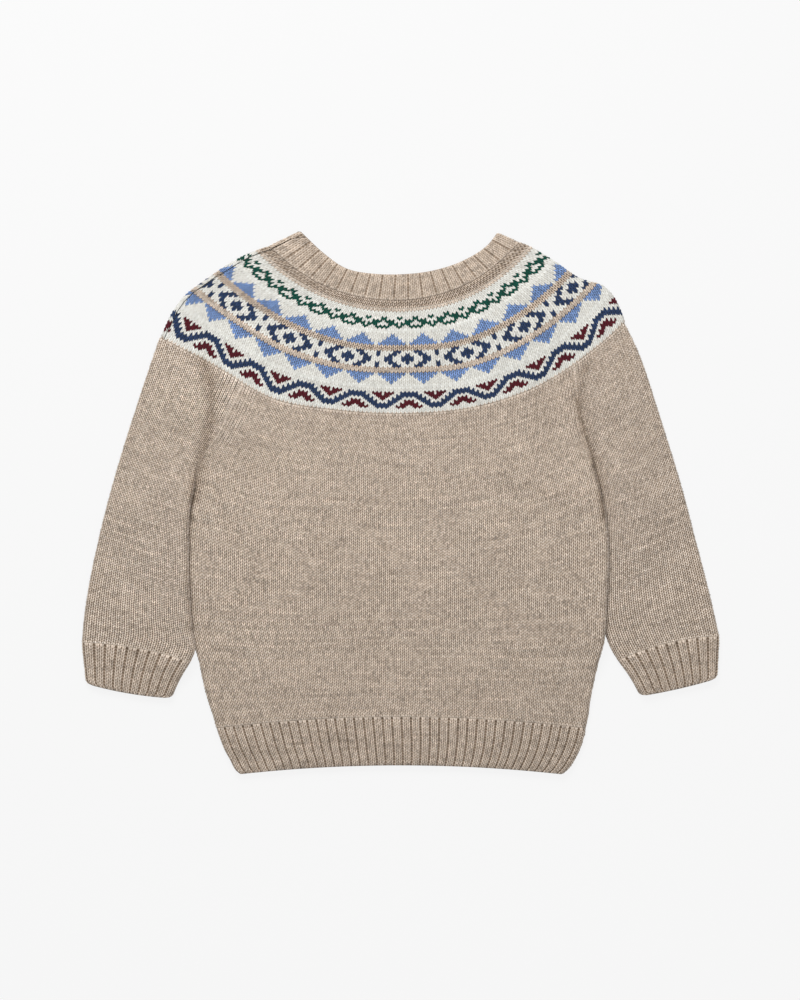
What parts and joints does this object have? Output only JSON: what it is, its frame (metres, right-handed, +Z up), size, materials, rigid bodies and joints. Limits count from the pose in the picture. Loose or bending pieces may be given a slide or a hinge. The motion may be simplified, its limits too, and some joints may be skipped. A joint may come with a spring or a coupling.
{
  "type": "fair isle jumper",
  "caption": "Child's knitted jumper laid flat, front up, with a patterned round yoke, ribbed neckband, cuffs and hem, and a shoulder opening",
  "frame": {"origin": "centre of the bounding box in plan, on the surface the jumper lies on", "axes": "+X to the right as seen from the front, +Y towards the neck, +Z up from the surface"},
  "size_m": [0.4586, 0.3905, 0.0108],
  "materials": {
    "plain_knit": "oatmeal heather wool, plain knit, matt and slightly fuzzy",
    "rib_knit": "oatmeal heather wool, ribbed knit, matt and slightly fuzzy",
    "patterned_knit": "cream wool with bands of navy, light blue, burgundy, green and oatmeal, matt and slightly fuzzy"
  },
  "bodies": {
    "root": {"front": "plain_knit", "back": "plain_knit", "sleeve_left": "plain_knit", "sleeve_right": "plain_knit", "yoke": "patterned_knit", "neckband": "rib_knit", "hem_front": "rib_knit", "hem_back": "rib_knit", "cuff_left": "rib_knit", "cuff_right": "rib_knit"}
  },
  "joints": []
}
